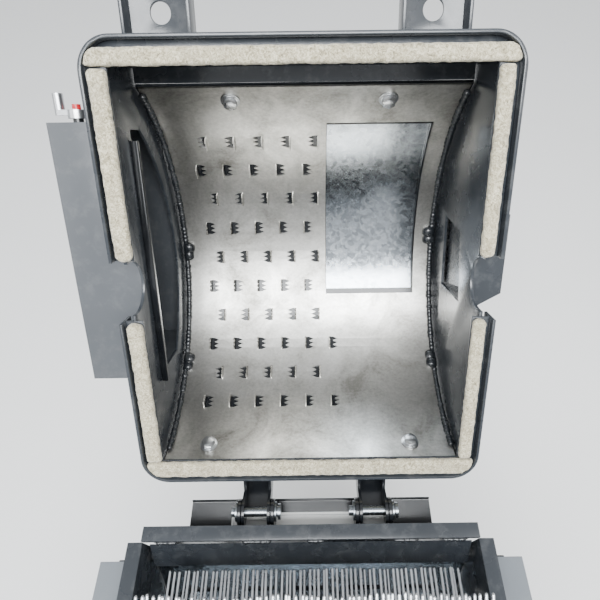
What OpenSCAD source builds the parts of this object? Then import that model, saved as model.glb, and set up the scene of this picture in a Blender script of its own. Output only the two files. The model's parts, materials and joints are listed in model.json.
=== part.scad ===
// Drum huller with a hinged, toothed hood over a wire-rod brush drum.
// Millimetres, +Z up, +X to the operator's right, +Y to the rear (hinge side).
// Origin: on the floor, below the middle of the drum shaft.
// The hood is modelled closed, about the drum axis, then swung open about its hinge.

/* [Hood] */
// Outer width of the hood rim, along the drum
hood_w = 360; // [330:1:460]
// Outer depth of the hood rim, front to rear
hood_l = 430; // [415:1:470]
// Outer corner radius of the hood rim
rim_r = 28; // [12:1:40]
// Height of the rim band
rim_h = 24; // [18:1:30]
// Thickness of the painted sheet
sheet_t = 3; // [2:0.5:4]
// How far the hood stands open at rest, in degrees
open_a = 126; // [90:1:130]
// Width of the felt seal
felt_w = 20; // [14:1:26]

/* [Liner] */
// Inner radius of the toothed liner
liner_r = 210; // [195:1:214]
// Thickness of the liner sheet
liner_t = 2; // [1:0.5:3]
// Rows of tooth marks around the liner
tooth_rows = 10; // [4:1:10]
// Angle between two rows, in degrees
tooth_step = 10.8; // [9:0.1:11]
// Distance between two marks of a row
tooth_pitch = 32; // [24:1:33]
// Height of a tooth above the liner
tooth_h = 6.5; // [3:0.5:9]

/* [Feed opening] */
// Width of the feed window
window_w = 119; // [60:1:125]
// Height of the hopper mouth above the drum axis
hopper_z = 330; // [280:1:400]

/* [Drum] */
// Clearance from the rod tips to the liner
tip_gap = 19; // [16:1:60]
// Radius of the drum tube
tube_r = 70; // [45:1:100]
// Rows of rods around the drum
brush_rows = 12; // [6:1:18]
// Diameter of one wire rod
rod_d = 3; // [2:0.5:4]
// Diameter of the drum shaft
shaft_d = 25; // [20:1:30]

/* [Stand] */
// Height of the drum axis above the floor
axis_h = 720; // [650:1:900]
// Size of a square leg tube
leg_w = 30; // [20:1:40]
// Distance between the legs, front to rear
leg_span = 380; // [320:1:420]

/* [Drive] */
// Pitch radius of the drum pulley
drum_pulley_r = 70; // [55:1:85]
// Pitch radius of the motor pulley
motor_pulley_r = 35; // [30:1:45]
// Height of the motor shaft above the floor
motor_z = 250; // [230:1:320]

/* [Hidden] */
$fn = 64;

// Colours
paint = "#4a4f58";
dark = "#2f333a";
zinc = "#b9bcc0";
liner_c = "#a9a8a2";
felt_c = "#c5c0ae";
galv = "#c4cbd0";
black = "#222326";
red = "#b3262a";

// Clearances
gap = 0.5;             // between faces that close on each other
run = 0.05;            // radial clearance of a running shaft or pin
fold_gap = 0.2;        // between sheets of one body

// Hood frame, seen closed and about the drum axis
rim_z = 9.5;           // rim edge above the drum axis
hx = hood_w / 2;
hy = hood_l / 2;
wall_x = hx - 12;      // inner face of the hood's side walls
flange_z = rim_z + 9;  // face that carries the felt
flange_top = flange_z + sheet_t;
shell_r = liner_r + liner_t + fold_gap;
shell_o = shell_r + sheet_t;
front_y = -(hy - 12);  // inner face of the front wall
rear_y = hy - sheet_t;
arc_front = 61.4;      // where the arc starts, from the top towards the front
arc_rear = -80;        // where the arc ends, from the top towards the rear
step_z = shell_r * cos(arc_front);
notch_w = 26;          // half width of the shaft notch
notch_z = rim_z + 21;  // centre of its round end
rim_gap = 30;          // half length of the break in the rim at the shaft

// Hinge
hinge_y = hy + 27;
hinge_z = -5.5;
hinge_xs = [-58, 67];
arm_w = 30;
arm_r = 13;
pin_r = 5;
ear_t = 4;

// Housing
top_z = rim_z - gap;   // top of the housing rim
side_x = hx - 10;      // inner face of the housing's side plates
flange_w = 15;
rail_y = hy - 2.5;     // front edge of the back rail
rail_w = 14;
screen_r = liner_r - 6;
screen_t = 2;
housing_low = -232;    // lower edge of the housing
beam_w = 40;
beam_x = side_x + flange_w + 2;
bearing_h = 36.5;      // shaft centre above a bearing's base
beam_top = -bearing_h;

// Feed window
window_x = 23;
window_a1 = -18.1;
window_a2 = 46.3;
gate_r = shell_o + 1.2;
gate_t = 1.2;
gate_travel = 41;      // degrees

// Catch
catch_xs = [-117, 108];
catch_y = -(hy + 20);
catch_hole_r = 8.5;
catch_top = 32;        // channel web above the rim edge
post_r = 6.5;
wall_front = -rail_y - 3.5 - sheet_t - fold_gap;

// Drive
pulley_x = beam_x + beam_w + 34;
pulley_w = 22;
belt_t = 8;
motor_y = 0;
belt_len = axis_h - motor_z;
motor_r = 62;
motor_shaft_r = 9.5;
guard_x = pulley_x - 17;
guard_w = 40;

// ---- helpers ----
module at_axis() translate([0, 0, axis_h]) children();

module on_hood() at_axis() translate([0, hinge_y, hinge_z]) rotate([-open_a, 0, 0])
    translate([0, -hinge_y, -hinge_z]) children();

// A profile in (y, z) stretched along the drum from x0 to x1
module along_x(x0, x1) translate([x0, 0, 0]) rotate([90, 0, 90]) linear_extrude(x1 - x0) children();

// A point at radius r and angle a, from the top towards the front
function arc_pt(r, a) = [-r * sin(a), r * cos(a)];

// Ring sector between angles a1 and a2 (a2 nearer the front)
module sector(r0, r1, a1, a2) {
    steps = ceil((a2 - a1) / 15);
    intersection() {
        difference() { circle(r1, $fn = 128); circle(r0, $fn = 128); }
        polygon(concat([[0, 0]],
            [for (i = [0:steps]) arc_pt(r1 * 1.2, a2 - (a2 - a1) * i / steps)]));
    }
}

module round_rect(w, l, r) {
    square([w, l - 2 * r], center = true);
    square([w - 2 * r, l], center = true);
    for (x = [-1, 1], y = [-1, 1]) translate([x * (w / 2 - r), y * (l / 2 - r)]) circle(r);
}

module slab(x, y, z) translate([x[0], y[0], z[0]]) cube([x[1] - x[0], y[1] - y[0], z[1] - z[0]]);

module rod_x(x0, x1, r) translate([x0, 0, 0]) rotate([0, 90, 0]) cylinder(h = x1 - x0, r = r);

// ---- lower housing ----
module side_profile() {
    intersection() {
        union() {
            translate([-rail_y, -120]) square([2 * rail_y, 120 + top_z]);
            circle(screen_r + screen_t + 12, $fn = 128);
            translate([-140, housing_low]) square([280, 120]);
        }
        translate([-rail_y, housing_low]) square([2 * rail_y, top_z - housing_low]);
    }
}

module housing_side(s) at_axis() color(paint) mirror([s < 0 ? 1 : 0, 0, 0]) difference() {
    union() {
        along_x(side_x, side_x + sheet_t) side_profile();
        slab([side_x, side_x + flange_w], [-rail_y, rail_y], [top_z - sheet_t, top_z]);
    }
    rod_x(side_x - 1, side_x + flange_w + 1, shaft_d / 2 + 6);
    slab([side_x - 1, side_x + flange_w + 1], [-shaft_d / 2 - 6, shaft_d / 2 + 6], [0, top_z + 1]);
}
module housing_sides() {
    housing_side(-1);
    housing_side(1);
}

module rail_bar(y0) difference() {
    union() {
        slab([-side_x - 2, side_x + 2], [y0, y0 + rail_w], [top_z - 6, top_z]);
        along_x(-side_x - 2, side_x + 2) translate([y0 + 5, top_z - 6]) circle(5);
    }
    slab([-side_x - 3, side_x + 3], [y0 + 3, y0 + rail_w - 3], [top_z - 12, top_z - 3]);
}
module back_rail() at_axis() color(paint) rail_bar(rail_y + gap);
module front_rail() at_axis() color(paint) mirror([0, 1, 0]) rail_bar(rail_y + gap);

module back_deflector() at_axis() color(paint) along_x(-side_x + 4, side_x - 4)
    polygon([[rail_y - 0.5, -1], [rail_y - 0.5, -5], [197, -34], [194.5, -32]]);

module end_wall() slab([-side_x + gap, side_x - gap], [rail_y + 3.5, rail_y + 3.5 + sheet_t], [-120, -3]);
module end_walls() at_axis() color(paint) {
    end_wall();
    mirror([0, 1, 0]) end_wall();
}

// Lower half mantle: slots let the husk fall through
module concave_screen() at_axis() color(zinc) difference() {
    along_x(-side_x + gap, side_x - gap) rotate(180) sector(screen_r, screen_r + screen_t, -79, 79);
    for (k = [-6:6], c = [-2:2]) rotate([k * 10, 0, 0])
        translate([c * 62 - 20, -4, -screen_r - 5]) cube([40, 8, 10]);
}

// Sloping tray with two cheeks, open at the front
module husk_chute() at_axis() color(paint) {
    along_x(-side_x + gap, side_x - gap) polygon([[150, -175], [-225, -360], [-225, -363], [151, -178]]);
    for (x = [-side_x + gap, side_x - gap - 2]) along_x(x, x + 2)
        polygon([[150, -175], [-225, -360], [-225, -320], [-160, housing_low - 1], [20, housing_low - 1]]);
}

module side_beam(s) at_axis() color(paint) mirror([s < 0 ? 1 : 0, 0, 0]) difference() {
    slab([beam_x, beam_x + beam_w], [-200, 200], [beam_top - beam_w, beam_top]);
    slab([beam_x + 3, beam_x + beam_w - 3], [-197, 197], [beam_top - beam_w + 3, beam_top - 3]);
}
module side_beams() {
    side_beam(-1);
    side_beam(1);
}

leg_x = beam_x + 5;
leg_top = axis_h + beam_top - beam_w;
module stand_legs() color(dark) for (s = [-1, 1], y = [-1, 1]) difference() {
    translate([s * (leg_x + leg_w / 2), y * leg_span / 2, leg_top / 2 + 3])
        cube([leg_w, leg_w, leg_top - 6 - fold_gap], center = true);
    translate([s * (leg_x + leg_w / 2), y * leg_span / 2, leg_top / 2])
        cube([leg_w - 5, leg_w - 5, leg_top + 2], center = true);
}

brace_z = 120;
module tube_y(l) difference() {
    cube([leg_w, l, leg_w], center = true);
    cube([leg_w - 5, l + 1, leg_w - 5], center = true);
}
module stand_braces() color(dark) translate([0, 0, brace_z]) {
    for (s = [-1, 1]) translate([s * (leg_x + leg_w / 2), 0, 0]) tube_y(leg_span - leg_w - 2 * fold_gap);
    for (y = [-1, 1]) translate([0, y * leg_span / 2, 0]) rotate([0, 0, 90]) tube_y(2 * leg_x - 2 * fold_gap);
}

floor_hole_r = 5.5;
floor_plate_w = 80;
floor_x = leg_x + leg_w / 2 + 22;
module floor_plates() color(dark) for (s = [-1, 1], y = [-1, 1]) difference() {
    translate([s * (leg_x + leg_w / 2 + 10), y * leg_span / 2, 3]) cube([floor_plate_w, 60, 6], center = true);
    translate([s * (floor_x + 6), y * leg_span / 2, -1]) cylinder(h = 8, r = floor_hole_r);
}

shelf_z = hinge_z - 24;
shelf_end = hinge_y + 17;
module rear_shelf() at_axis() color(dark) {
    slab([-134, 134], [rail_y + 6.5 + gap, shelf_end], [shelf_z - 2, shelf_z]);
    slab([-134, 134], [shelf_end - 2, shelf_end], [shelf_z - 30, shelf_z + 3]);
}

buffer_r = 5;
module label_plate() at_axis() color("white") difference() {
    slab([-88, 88], [rail_y + 9, shelf_end - 5], [shelf_z + fold_gap, shelf_z + 1]);
    for (hxc = hinge_xs) translate([hxc, hinge_y + 10, shelf_z - 1]) cylinder(h = 3, r = buffer_r + gap);
}

module hinge_ears() at_axis() color(dark) for (hxc = hinge_xs, s = [-1, 1]) difference() {
    translate([hxc + s * (arm_w / 2 + 0.6 + ear_t / 2) - ear_t / 2, 0, 0]) union() {
        translate([0, hinge_y, hinge_z]) rod_x(0, ear_t, arm_r);
        slab([0, ear_t], [hinge_y - arm_r, hinge_y + arm_r], [shelf_z + 1.2, hinge_z]);
    }
    translate([hxc - 40, hinge_y, hinge_z]) rod_x(0, 80, pin_r + 0.02);
}

module hinge_pins() at_axis() color(zinc) for (hxc = hinge_xs) translate([hxc, hinge_y, hinge_z]) {
    rod_x(-26, 23, pin_r - 0.02);
    rod_x(23, 26, pin_r + 3);
    translate([-23.8, 0, 11]) rotate([180, 0, 0]) cylinder(h = 24, r = 1.3);
}

module hinge_washers() at_axis() color(zinc) for (hxc = hinge_xs, x = [-21.6, 20])
    translate([hxc, hinge_y, hinge_z]) difference() {
        rod_x(x, x + 1.6, 10);
        rod_x(x - 1, x + 3, pin_r + 0.1);
    }

// Rubber buffers that the arms rest on when the hood stands open
module lid_buffers() at_axis() color(black) for (hxc = hinge_xs)
    translate([hxc, hinge_y + 10, shelf_z + fold_gap]) cylinder(h = 6.5, r = buffer_r);

module bearing(s) at_axis() color(dark) mirror([s < 0 ? 1 : 0, 0, 0])
    translate([beam_x + beam_w / 2 - 19, 0, 0]) difference() {
        union() {
            slab([0, 38], [-70, 70], [-bearing_h + fold_gap, -bearing_h + 15]);
            slab([3, 35], [-32, 32], [-bearing_h + 1, 0]);
            rod_x(3, 35, 34);
        }
        rod_x(-1, 40, shaft_d / 2 + run);
    }
module bearings() {
    bearing(-1);
    bearing(1);
}

module bearing_bolts() at_axis() color(zinc) for (s = [-1, 1], y = [-52.5, 52.5])
    translate([s * (beam_x + beam_w / 2), y, -bearing_h + 15 + fold_gap]) {
        cylinder(h = 7, r = 9.5, $fn = 6);
        cylinder(h = 11, r = 5);
    }

// Upright shields that fill the hood's shaft notches
module shaft_shields() at_axis() color(paint) for (s = [-1, 1]) mirror([s < 0 ? 1 : 0, 0, 0]) difference() {
    union() {
        slab([side_x - 3 - fold_gap, side_x - fold_gap], [-21, 21], [-45, notch_z - 4.5]);
        translate([0, 0, notch_z - 4.5]) rod_x(side_x - 3 - fold_gap, side_x - fold_gap, 21);
    }
    rod_x(side_x - 10, side_x + 10, shaft_d / 2 + 1);
}

module catch_posts() at_axis() color(zinc) for (x = catch_xs) {
    translate([x, catch_y, -20]) cylinder(h = 20 + rim_z + catch_top + 12, r = post_r);
    translate([x, catch_y, rim_z + catch_top + 12]) cylinder(h = 6, r1 = post_r, r2 = 3.5);
    slab([x - 20, x + 20], [catch_y - 14, wall_front], [-26, -20]);
    slab([x - 20, x + 20], [wall_front - 6, wall_front], [-60, -26]);
}

// ---- drive ----
module motor_plate() color(dark) {
    translate([0, 0, brace_z + leg_w / 2 + fold_gap])
        slab([beam_x - 190, leg_x - 1], [-leg_span / 2 - 14, leg_span / 2 + 14], [0, 5]);
    for (y = [-50, 50]) difference() {
        slab([beam_x - 150, beam_x - 20], [y - 14, y + 14], [brace_z + leg_w / 2 + 5, motor_z - 40]);
        translate([0, motor_y, motor_z]) rod_x(0, beam_x, motor_r + fold_gap);
    }
}
module motor_body() color(dark) translate([0, motor_y, motor_z]) difference() {
    union() {
        rod_x(beam_x - 170, beam_x, motor_r - 6);
        for (k = [0:23]) rotate([k * 15, 0, 0]) slab([beam_x - 160, beam_x - 11], [-1.2, 1.2], [50, motor_r - 2]);
        rod_x(beam_x - 12, beam_x + 2, motor_r);
    }
    rod_x(beam_x - 150, beam_x + 10, motor_shaft_r + run);
}
module motor_fan_cover() color(black) translate([0, motor_y, motor_z]) difference() {
    rod_x(beam_x - 215, beam_x - 170 - fold_gap, motor_r - 4);
    rod_x(beam_x - 212, beam_x - 169, motor_r - 7);
    for (k = [0:11]) rotate([k * 30, 0, 0]) slab([beam_x - 220, beam_x - 210], [-3, 3], [18, 46]);
}
module terminal_box() color(black) translate([0, motor_y, motor_z])
    slab([beam_x - 130, beam_x - 50], [-35, 35], [motor_r + fold_gap, motor_r + 38]);

module belt_outline(extra) hull() {
    circle(drum_pulley_r + extra);
    translate([0, -belt_len]) circle(motor_pulley_r + extra);
}

module drive_belt() at_axis() color(black) along_x(pulley_x - 6, pulley_x + 6) difference() {
    belt_outline(belt_t / 2);
    belt_outline(-belt_t / 2 + 0.4);
}

module pulley(r, bore) difference() {
    union() {
        rod_x(-pulley_w / 2, pulley_w / 2, r - belt_t / 2);
        for (x = [-pulley_w / 2, 6.6]) rod_x(x, x + 4.4, r + 5);
    }
    rod_x(-30, 30, bore);
}
module drum_pulley() at_axis() color(zinc) translate([pulley_x, 0, 0]) pulley(drum_pulley_r, shaft_d / 2);
module motor_pulley() color(zinc) translate([pulley_x, motor_y, motor_z]) pulley(motor_pulley_r, motor_shaft_r);

module belt_guard() {
    guard_shell();
    guard_straps();
}
module guard_shell() at_axis() color(paint) difference() {
    along_x(guard_x, guard_x + guard_w) belt_outline(16);
    along_x(guard_x + 2, guard_x + guard_w - 2) belt_outline(14);
    rod_x(guard_x - 1, guard_x + 3, 24);
    translate([0, 0, -belt_len]) rod_x(guard_x - 1, guard_x + 3, 20);
    for (k = [0:7]) translate([0, 0, -120 - k * 22])
        slab([guard_x + guard_w - 3, guard_x + guard_w + 1], [-28, 28], [-4, 4]);
}

// Straps that carry the guard on the right side beam
module guard_straps() at_axis() color(paint) for (y = [-66, 56])
    slab([beam_x + beam_w + fold_gap, guard_x], [y, y + 10], [beam_top - beam_w + 5, beam_top - 5]);
module guard_bolts() at_axis() color(zinc) for (z = [drum_pulley_r - 12, -180, -belt_len - 34]) {
    translate([guard_x + guard_w + fold_gap, 0, z]) rotate([0, 90, 0]) cylinder(h = 5, r = 6.5, $fn = 6);
}

// ---- brush drum ----
drum_x0 = -148;
brush_r = liner_r - tip_gap;
drum_x1 = hx - sheet_t - felt_w - 1;
module drum_shaft() at_axis() color(zinc)
    rod_x(-beam_x - beam_w - 6, pulley_x + pulley_w / 2 + 4, shaft_d / 2);
module drum_tube() at_axis() color(dark) difference() {
    union() {
        rod_x(drum_x0, drum_x1, tube_r);
        for (x = [drum_x0, drum_x1 - 4]) rod_x(x, x + 4, tube_r + 22);
    }
    rod_x(drum_x0 + 5, drum_x1 - 5, tube_r - 4);
    rod_x(drum_x0 - 5, drum_x1 + 5, shaft_d / 2);
}
module brush_bars() at_axis() color(zinc) for (k = [0:brush_rows - 1]) rotate([k * 360 / brush_rows, 0, 0])
    slab([drum_x0 + 6, drum_x1 - 6], [-rod_d / 2, rod_d / 2], [tube_r, brush_r]);

// ---- motor rotor ----
module motor_shaft() color(zinc) translate([0, motor_y, motor_z])
    rod_x(beam_x - 120, pulley_x + pulley_w / 2 + 4, motor_shaft_r);

// ---- hood ----
module rim_break() for (s = [-1, 1]) slab([s > 0 ? hx - 40 : -hx - 40, s > 0 ? hx + 40 : -hx + 40],
    [-rim_gap, rim_gap], [0, rim_z + rim_h + 1]);

module rim_band() on_hood() color(paint) difference() {
    translate([0, 0, rim_z]) linear_extrude(rim_h) difference() {
        round_rect(hood_w, hood_l, rim_r);
        round_rect(hood_w - 2 * sheet_t, hood_l - 2 * sheet_t, rim_r - sheet_t);
    }
    rim_break();
}

module rim_flange() on_hood() color(paint) difference() {
    translate([0, 0, flange_z]) linear_extrude(sheet_t) difference() {
        round_rect(hood_w - 2 * sheet_t, hood_l - 2 * sheet_t, rim_r - sheet_t);
        square([2 * (wall_x - 8), 2 * (hy - 21)], center = true);
    }
    rim_break();
}

module felt_seal() on_hood() color(felt_c) translate([0, 0, rim_z + gap]) linear_extrude(8.3) intersection() {
    round_rect(hood_w - 2 * sheet_t - 1, hood_l - 2 * sheet_t - 1, rim_r - sheet_t);
    for (s = [-1, 1]) {
        translate([-hx, s > 0 ? hy - sheet_t - felt_w : -hy + sheet_t]) square([hood_w, felt_w]);
        for (y = [-1, 1]) {
            translate([s > 0 ? hx - sheet_t - felt_w : -hx + sheet_t, y > 0 ? rim_gap + 8 : -hy + 23.2])
                square([felt_w, hy - 31.2 - rim_gap]);
            translate([s * (hx - sheet_t - felt_w / 2), y * (rim_gap + 10)]) circle(felt_w / 2);
        }
    }
}

module hood_profile() difference() {
    union() {
        intersection() {
            circle(shell_o, $fn = 128);
            translate([front_y, flange_top]) square([rear_y - front_y, 300]);
        }
        translate([front_y, flange_top]) square([60, step_z + sheet_t - flange_top]);
        translate([rear_y - 50, flange_top]) square([50, 20]);
    }
    translate([0, notch_z]) circle(notch_w);
    translate([-notch_w, 0]) square([2 * notch_w, notch_z]);
}

// Trims a wall clear of the rim band's rounded corners
module rim_trim() translate([0, 0, rim_z - 1]) linear_extrude(rim_h + 1) difference() {
    square([hood_w + 2, hood_l + 2], center = true);
    round_rect(hood_w - 2 * sheet_t - 2 * fold_gap, hood_l - 2 * sheet_t - 2 * fold_gap, rim_r - sheet_t - fold_gap);
}

// Discharge slot in the left wall: a segment of the mantle circle
slot_r = 178;
slot_y = [-146, 116];
slot_z = 74;
module slot_profile() intersection() {
    circle(slot_r, $fn = 128);
    translate([slot_y[0], slot_z]) square([slot_y[1] - slot_y[0], slot_r]);
}
module hood_side_left() on_hood() color(paint) difference() {
    along_x(-wall_x - sheet_t, -wall_x) hood_profile();
    along_x(-wall_x - sheet_t - 1, -wall_x + 1) slot_profile();
    rim_trim();
}

// Air window in the right wall
air_window = [[-46, 162], [-38, 104], [39, 87], [39, 159]];
module hood_side_right() on_hood() color(paint) difference() {
    along_x(wall_x, wall_x + sheet_t) hood_profile();
    along_x(wall_x - 1, wall_x + sheet_t + 1) polygon(air_window);
    rim_trim();
}

module hood_front_wall() on_hood() color(paint) {
    difference() {
        slab([-wall_x - sheet_t, wall_x + sheet_t], [front_y - sheet_t, front_y - fold_gap],
            [flange_top, step_z + sheet_t]);
        rim_trim();
    }
    slab([-wall_x + fold_gap, wall_x - fold_gap], [front_y - fold_gap, arc_pt(shell_o, arc_front)[0] - fold_gap],
        [step_z, step_z + sheet_t]);
}
module hood_rear_wall() on_hood() color(paint)
    slab([-wall_x - sheet_t, wall_x + sheet_t], [rear_y + fold_gap, rear_y + sheet_t], [rim_z + rim_h, 48]);

module window_cut(grow) along_x(window_x - grow, window_x + window_w + grow)
    sector(liner_r - 20, shell_o + 20, window_a1 - grow / 4, window_a2 + grow / 4);

bolt_marks = [[-77, 56], [86, 56], [-119, -74.3], [117, -74.3]];
module at_bolts() for (b = bolt_marks) translate([b[0], 0, 0]) rotate([b[1], 0, 0]) children();

module hood_shell() on_hood() color(paint) difference() {
    along_x(-wall_x + fold_gap, wall_x - fold_gap) sector(shell_r, shell_o, arc_rear, arc_front);
    window_cut(2);
    at_bolts() cylinder(h = 300, r = 4.2);
}

tooth_a0 = 39.3;
tooth_x0 = -121.5;
function tooth_count(k) = (k == 7 || k == 9) ? 6 : 5;
module tooth_places() for (k = [0:tooth_rows - 1], j = [0:tooth_count(k) - 1])
    translate([tooth_x0 - (k % 2) * 8 + j * tooth_pitch, 0, 0]) rotate([tooth_a0 - k * tooth_step, 0, 0])
        mirror([k % 2, 0, 0]) children();

module tooth_comb() along_x(4, 5.5) translate([0, liner_r + 0.5]) polygon([[-7.5, 0], [7.5, 0],
    [7.5, -2], [5, -tooth_h], [2.5, -3], [0, -tooth_h], [-2.5, -3], [-5, -tooth_h], [-7.5, -2]]);

module tooth_liner() on_hood() color(liner_c) {
    difference() {
        along_x(-wall_x + 3, wall_x - 3) sector(liner_r, liner_r + liner_t, arc_rear, arc_front);
        window_cut(0);
        at_bolts() cylinder(h = 300, r = 4.2);
        tooth_places() slab([-5, 4], [-6, 6], [liner_r - 5, liner_r + 5]);
    }
    tooth_places() tooth_comb();
}

module liner_bolts() on_hood() color(zinc) at_bolts() {
    translate([0, 0, liner_r - 1.6]) cylinder(h = 1.4, r = 8.5);
    translate([0, 0, liner_r - 7]) cylinder(h = 5.4, r = 7.2, $fn = 6);
    translate([0, 0, liner_r - 2]) cylinder(h = 20, r = 4);
    translate([0, 0, shell_o + fold_gap]) cylinder(h = 6.4, r = 7.2, $fn = 6);
}

module hood_welds() on_hood() color(black) for (s = [-1, 1])
    along_x(s > 0 ? wall_x - 3 + fold_gap : -wall_x, s > 0 ? wall_x : -wall_x + 3 - fold_gap)
        sector(liner_r - 1, liner_r + 1.5, arc_rear + 4, arc_front - 2);

module arm_profile() difference() {
    union() {
        translate([hinge_y, hinge_z]) circle(arm_r);
        polygon([[hy + fold_gap, top_z + 3], [hy + fold_gap, 60], [hy + 8, 60], [hinge_y + arm_r, hinge_z + 2],
            [hinge_y - arm_r, hinge_z], [hinge_y - arm_r, top_z + 3]]);
    }
    translate([hinge_y, hinge_z]) circle(pin_r + run);
}
module hinge_arms() on_hood() color(dark) for (hxc = hinge_xs) translate([hxc, 0, 0]) {
    for (x = [-arm_w / 2, arm_w / 2 - 3]) along_x(x, x + 3) arm_profile();
    along_x(-arm_w / 2, arm_w / 2) polygon([[hy + 5, 60], [hy + 8, 60], [hinge_y + arm_r, hinge_z + 8],
        [hinge_y + arm_r - 3, hinge_z + 8]]);
}

module catch_channels() on_hood() color(paint) for (x = catch_xs) translate([x, 0, rim_z + catch_top]) difference() {
    union() {
        slab([-28, 28], [-hy - 48, -hy - fold_gap], [-3, 0]);
        for (s = [-1, 1]) slab([s > 0 ? 25 : -28, s > 0 ? 28 : -25], [-hy - 48, -hy - fold_gap], [-20, 0]);
    }
    translate([0, catch_y, -5]) cylinder(h = 10, r = catch_hole_r);
}

// Discharge duct on the left wall, mouth facing left
duct_z = rim_z + 58;
duct_y = [-153, 119];
duct_x = hx + 64;
duct_top = 205;
spindle_r = 5;
module outlet_duct() on_hood() color(zinc) difference() {
    slab([-duct_x, -wall_x - sheet_t - fold_gap], duct_y, [duct_z, duct_top]);
    slab([-duct_x - 1, -wall_x], [duct_y[0] + 2, duct_y[1] - 2], [duct_z + 2, duct_top - 2]);
    translate([-duct_x + 22, duct_y[0] - 1, duct_z + 20]) rotate([-90, 0, 0]) cylinder(h = 300, r = spindle_r + run);
}

module slot_bar() on_hood() color(black)
    slab([-wall_x + fold_gap, -wall_x + 7], [slot_y[0] + 10, slot_y[1] + 8], [slot_z - 5, slot_z + 1]);

// Air box: its lower end leans, and its slide comes out at the top
air_y = [-64, 43];
air_x = hx + 26;
air_z = [duct_z, 170];
air_lean = 20;
module air_outline(t) polygon([[wall_x + sheet_t + fold_gap, air_y[0] + t], [air_x - t, air_y[0] + 3 + t],
    [air_x - t, air_y[1] - air_lean - t], [wall_x + sheet_t + fold_gap, air_y[1] - t]]);
module air_box() on_hood() color(paint) difference() {
    translate([0, 0, air_z[0]]) linear_extrude(air_z[1] - air_z[0]) air_outline(0);
    translate([0, 0, air_z[0] + 2]) linear_extrude(air_z[1] - air_z[0]) air_outline(2);
}

// Feed hopper over the window
throat = [[window_x - 5, window_x + window_w + 5], [-168, 74]];
module hopper() on_hood() color(zinc) difference() {
    union() {
        slab([throat[0][0] - 2, throat[0][1] + 2], [throat[1][0] - 2, throat[1][1] + 2], [150, hopper_z - 60]);
        slab([throat[0][0] - 40, throat[0][1] + 28], [throat[1][0] - 30, throat[1][1] + 2], [hopper_z - 62, hopper_z]);
    }
    slab(throat[0], throat[1], [100, hopper_z + 1]);
    slab([throat[0][0] - 38, throat[0][1] + 26], [throat[1][0] - 28, throat[1][1]], [hopper_z - 60, hopper_z + 1]);
    along_x(throat[0][0] - 60, throat[0][1] + 60) circle(shell_o + fold_gap, $fn = 128);
    along_x(window_x - 4.8, window_x + window_w + 4.8) circle(gate_r + gate_t + 2, $fn = 128);
}

// Curved rails that hold the feed gate's edges
gate_a1 = window_a1 - 12;
gate_a2 = window_a2 + 4;
module gate_guides() on_hood() color(paint) for (m = [0, 1])
    translate([window_x + window_w / 2, 0, 0]) mirror([m, 0, 0]) {
        along_x(window_w / 2 + 2.5, window_w / 2 + 4.5)
            sector(shell_o + fold_gap, gate_r + gate_t + 1.6, gate_a1 - gate_travel, gate_a2);
        along_x(window_w / 2 - 3, window_w / 2 + 2.5)
            sector(gate_r + gate_t + 0.6, gate_r + gate_t + 1.6, gate_a1 - gate_travel, gate_a2);
    }

// Curved galvanised gate between the shell and the hopper
knob_a = gate_a1 + 3;
module feed_gate() on_hood() color(galv) {
    along_x(window_x - 2, window_x + window_w + 2) sector(gate_r, gate_r + gate_t, gate_a1, gate_a2);
    translate([window_x + window_w / 2, 0, 0]) rotate([knob_a, 0, 0])
        translate([0, 0, gate_r]) cylinder(h = 22, r = 5);
}
module gate_knob() on_hood() color(black) translate([window_x + window_w / 2, 0, 0]) rotate([knob_a, 0, 0])
    translate([0, 0, gate_r + 22 + fold_gap]) {
        cylinder(h = 5, r1 = 7, r2 = 11);
        translate([0, 0, 5]) cylinder(h = 8, r = 11);
        translate([0, 0, 13]) cylinder(h = 3, r1 = 11, r2 = 8);
    }

// Galvanised slide in the air box, with a folded grip
module air_slide() on_hood() color(galv) {
    along_x(wall_x + sheet_t + 2, wall_x + sheet_t + 3.5) polygon([[air_y[0] + 6, air_z[0] + 10],
        [air_y[1] - 22, air_z[0] + 10], [air_y[1] - 5, air_z[1] - 10], [air_y[1] - 5, air_z[1] + 14],
        [air_y[0] + 6, air_z[1] + 14]]);
    slab([wall_x + sheet_t + 2, wall_x + sheet_t + 16], [air_y[0] + 6, air_y[1] - 14], [air_z[1] + 14, air_z[1] + 15.5]);
}

// Swinging flap in the duct's mouth, its spindle, lever and grip
flap_x = -duct_x + 22;
flap_z = duct_z + 20;
module on_spindle() on_hood() translate([flap_x, 0, flap_z]) children();
module rod_y(y0, y1, r) translate([0, y0, 0]) rotate([-90, 0, 0]) cylinder(h = y1 - y0, r = r);
module duct_flap() on_spindle() color(paint) {
    rod_y(duct_y[0] - 12, duct_y[1] + 6, spindle_r);
    slab([-1, 1], [duct_y[0] + 3.5, duct_y[1] - 3.5], [-15, duct_top - flap_z - 4]);
}
module flap_lever() on_spindle() color(zinc) difference() {
    union() {
        rod_y(duct_y[0] - 12, duct_y[0] - 4, 9);
        slab([-17, 0], [duct_y[0] - 12, duct_y[0] - 7], [-5, 5]);
        translate([-16.5, 0, 0]) rod_y(duct_y[0] - 27, duct_y[0] - 7, 4.8);
    }
    rod_y(duct_y[0] - 40, duct_y[0], spindle_r);
}
module spindle_cap() on_spindle() color(red) rod_y(duct_y[0] - 17, duct_y[0] - 12 - fold_gap, spindle_r - 1);

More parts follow.
